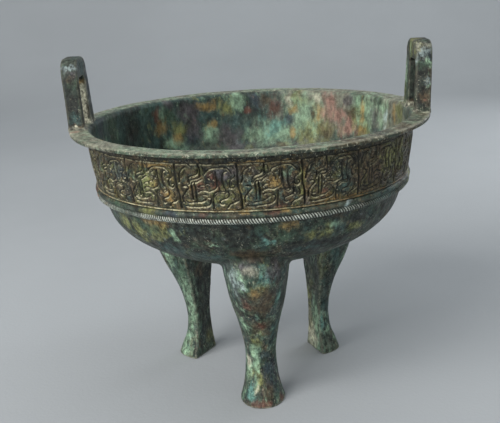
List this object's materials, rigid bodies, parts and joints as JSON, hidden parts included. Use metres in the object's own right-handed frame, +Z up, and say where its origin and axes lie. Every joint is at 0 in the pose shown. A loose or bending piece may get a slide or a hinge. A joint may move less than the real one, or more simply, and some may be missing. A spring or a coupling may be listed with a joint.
{
  "type": "bronze ding vessel",
  "caption": "Round hollow bronze bowl on cabriole legs, with a flat turned-out rim, standing loop handles and a cast pattern band.",
  "frame": {"origin": "on the ground under the middle of the bowl, level with the soles of the feet", "axes": "+Z up; the handles stand at +X and -X; one leg stands at -Y and the other two at about 29 and 149 degrees from +X"},
  "size_m": [0.2524, 0.25, 0.237],
  "materials": {
    "patinated_bronze": "dark brown-green bronze patina with pale green, blue-green, ochre and rust-red patches"
  },
  "bodies": {
    "root": {"ding_vessel": "patinated_bronze"}
  },
  "joints": []
}
